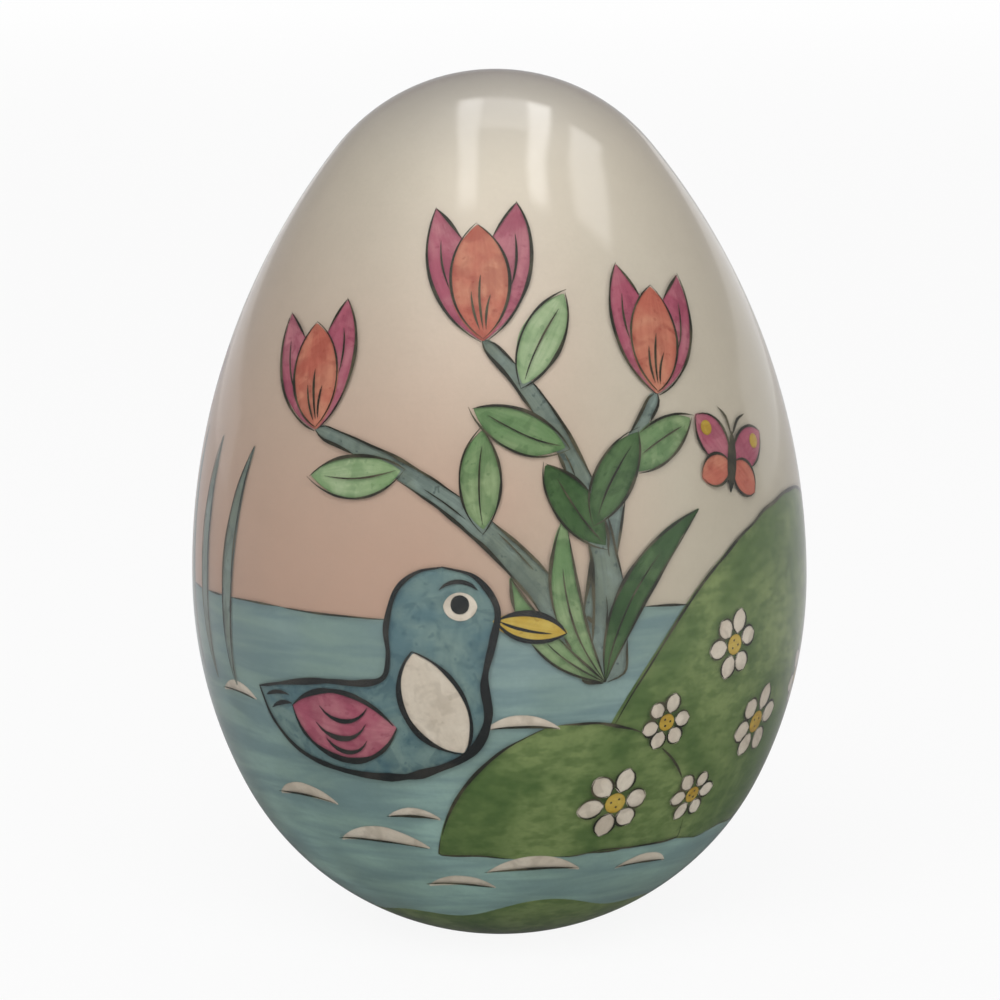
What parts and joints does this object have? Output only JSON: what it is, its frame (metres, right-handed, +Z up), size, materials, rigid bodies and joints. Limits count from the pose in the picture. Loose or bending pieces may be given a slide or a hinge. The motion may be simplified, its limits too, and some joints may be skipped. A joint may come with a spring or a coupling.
{
  "type": "reverse painted glass egg",
  "caption": "Hollow clear glass egg on a ground flat foot, painted on its inside wall with tulips, a duck, a hill and a pond over a pearl ground.",
  "frame": {"origin": "middle of the ground foot, on the surface that the egg stands on", "axes": "+Z up through the crown, -Y towards the front of the picture, +X to its right"},
  "size_m": [0.0636, 0.0636, 0.0885],
  "materials": {
    "clear_glass": "polished, with a frosted ground foot",
    "ink": "drawn ink line",
    "yellow_paint": "thin paint film",
    "cream_paint": "thin paint film",
    "coral_paint": "thin paint film",
    "magenta_paint": "thin paint film",
    "duck_blue_paint": "thin paint film",
    "leaf_green_paint": "thin paint film",
    "stem_teal_paint": "thin paint film",
    "hill_green_paint": "thin paint film",
    "pond_teal_paint": "thin paint film",
    "pearl_paint": "pearl ground coat",
    "seal_lacquer": "sealing lacquer"
  },
  "bodies": {
    "root": {"glass_shell": "clear_glass", "flower_ink": "ink", "duck_ink": "ink", "yellow_details": "yellow_paint", "cream_blossoms": "cream_paint", "cream_breast": "cream_paint", "coral_petals": "coral_paint", "magenta_petals": "magenta_paint", "duck_plumage": "duck_blue_paint", "green_leaves": "leaf_green_paint", "teal_stems": "stem_teal_paint", "back_reeds": "stem_teal_paint", "cream_ripples": "cream_paint", "green_hills": "hill_green_paint", "near_bank": "hill_green_paint", "teal_pond": "pond_teal_paint", "pearl_ground": "pearl_paint", "seal_coat": "seal_lacquer"}
  },
  "joints": []
}
